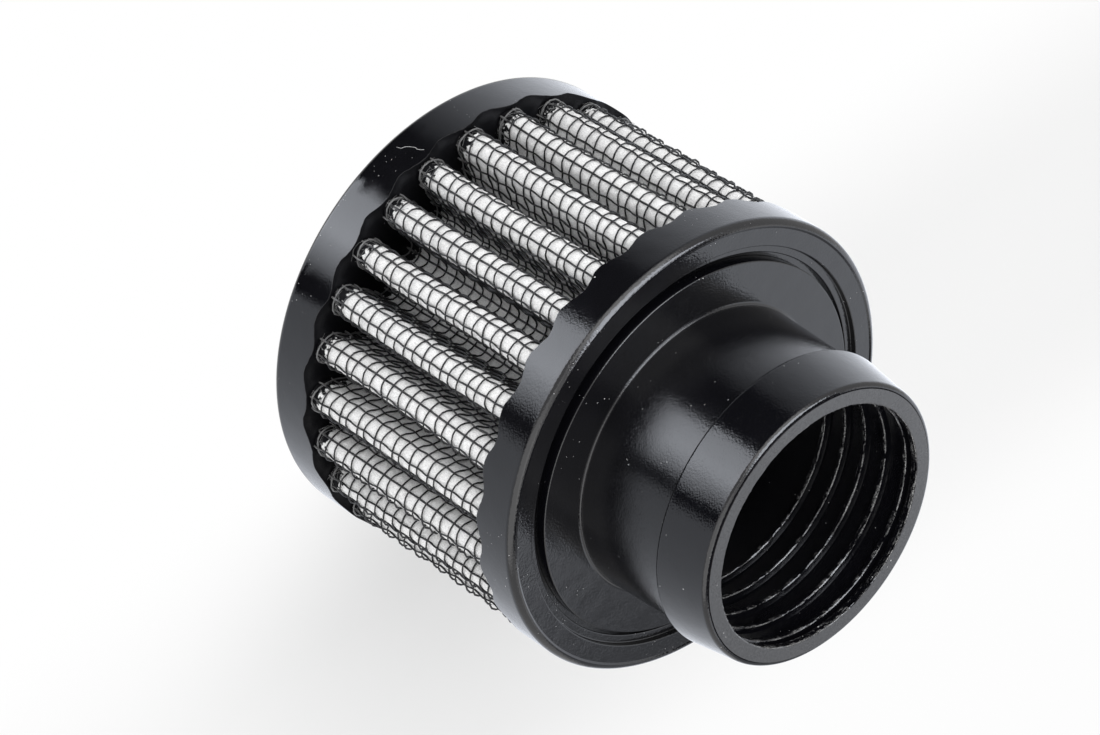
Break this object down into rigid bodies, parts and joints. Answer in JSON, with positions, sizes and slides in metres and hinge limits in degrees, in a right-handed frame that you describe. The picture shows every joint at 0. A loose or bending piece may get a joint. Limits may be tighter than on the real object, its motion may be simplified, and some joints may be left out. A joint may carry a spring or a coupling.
{
  "type": "breather filter",
  "caption": "Clamp-on cylindrical breather filter: white pleated media under black wire mesh, potted in black moulded end caps, with a ribbed pipe neck.",
  "frame": {"origin": "middle of the rear end cap's flat outer face, on the filter's axis", "axes": "+Z along the filter's axis from the closed cap to the mouth of the neck; +X through the middle of one pleat's crest; +Y completes the right-handed frame"},
  "size_m": [0.072, 0.072, 0.077],
  "materials": {
    "cap_moulding": "satin",
    "neck_moulding": "gloss",
    "fleece": "matte",
    "coated_wire": "satin"
  },
  "bodies": {
    "root": {"rear_end_cap": "cap_moulding", "front_end_cap": "cap_moulding", "neck_flange": "neck_moulding", "filter_media": "fleece", "outer_wire_mesh": "coated_wire", "inner_wire_mesh": "coated_wire"}
  },
  "joints": []
}
